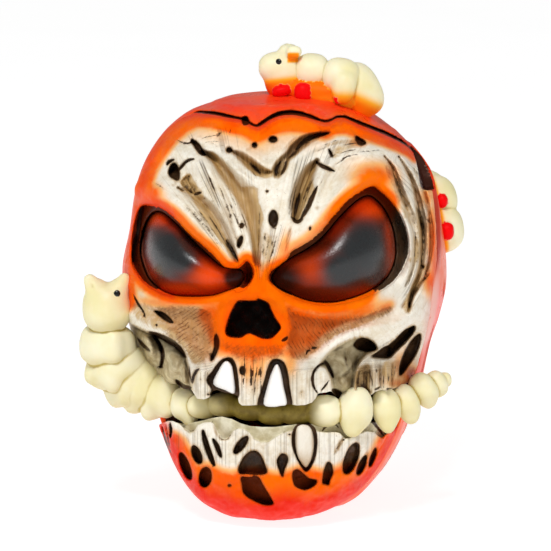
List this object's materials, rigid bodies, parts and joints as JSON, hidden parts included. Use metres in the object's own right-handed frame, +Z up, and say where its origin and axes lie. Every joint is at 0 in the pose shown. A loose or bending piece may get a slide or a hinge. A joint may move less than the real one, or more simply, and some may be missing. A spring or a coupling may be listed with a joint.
{
  "type": "halloween skull decoration",
  "caption": "Table-top cast-resin skull with cracked rind, angry lit eyes, inset teeth and grubs crawling over it, on a plastic base with a battery door and slide switch.",
  "frame": {"origin": "middle of the footprint box, on the table", "axes": "+Z up, the face looks along -Y, +X to the viewer's right"},
  "size_m": [0.1204, 0.1126, 0.1553],
  "materials": {
    "bone_resin": "cast resin, bone white with brown wash and orange airbrushed rims, satin",
    "rind_resin": "cast resin, airbrushed red to orange, satin gloss",
    "jaw_resin": "cast resin, bone white fading through orange to red, satin",
    "smoky_lens": "smoky black fading to translucent orange, glossy",
    "led_lens": "clear moulded lens",
    "black_plastic": "moulded, fine matte grain",
    "lead_jacket": "extruded jacket",
    "white_tooth": "painted white, semi-gloss",
    "old_tooth": "painted bone with brown wash",
    "grub_resin": "painted cream, satin",
    "screw_steel": "zinc plated",
    "cell_steel": "bright nickel",
    "white_plastic": "moulded",
    "pad_rubber": "matte foam rubber"
  },
  "bodies": {
    "skull": {"face_shell": "bone_resin", "rear_shell": "rind_resin", "lower_jaw": "jaw_resin", "eye_dome_left": "smoky_lens", "eye_dome_right": "smoky_lens", "led_left": "led_lens", "led_right": "led_lens", "led_holder_left": "black_plastic", "led_holder_right": "black_plastic", "led_lead_left": "lead_jacket", "led_lead_right": "lead_jacket", "switch_lead": "lead_jacket", "upper_tooth_left": "white_tooth", "upper_tooth_right": "white_tooth", "lower_tooth": "old_tooth", "mouth_worm": "grub_resin", "crown_worm": "grub_resin", "side_worm": "grub_resin", "base_plate": "black_plastic", "battery_box": "black_plastic", "button_cell_1": "cell_steel", "button_cell_2": "cell_steel", "button_cell_3": "cell_steel", "contact_spring": "screw_steel", "contact_plate": "screw_steel", "switch_body": "black_plastic", "base_screw_front": "screw_steel", "base_screw_left_front": "screw_steel", "base_screw_right_front": "screw_steel", "base_screw_left_rear": "screw_steel", "base_screw_right_rear": "screw_steel", "foot_pad_1": "pad_rubber", "foot_pad_2": "pad_rubber", "foot_pad_3": "pad_rubber", "foot_pad_4": "pad_rubber"},
    "door": {"battery_door": "black_plastic"},
    "door_screw": {"door_screw": "screw_steel"},
    "switch_knob": {"switch_slider": "white_plastic"}
  },
  "joints": [
    {"name": "battery_door_hinge", "type": "hinge", "parent": "skull", "child": "door", "pos_m": [-0.00071, 0.0214, 0.003], "axis": [1, 0, 0], "range_deg": [0, 100]},
    {"name": "door_screw_turn", "type": "hinge", "parent": "door", "child": "door_screw", "pos_m": [-0.00071, -0.0048, 0.0025], "axis": [0, 0, 1], "continuous": true},
    {"name": "switch_slide", "type": "slide", "parent": "skull", "child": "switch_knob", "axis": [1, 0, 0], "range_m": [0, 0.0025]}
  ]
}
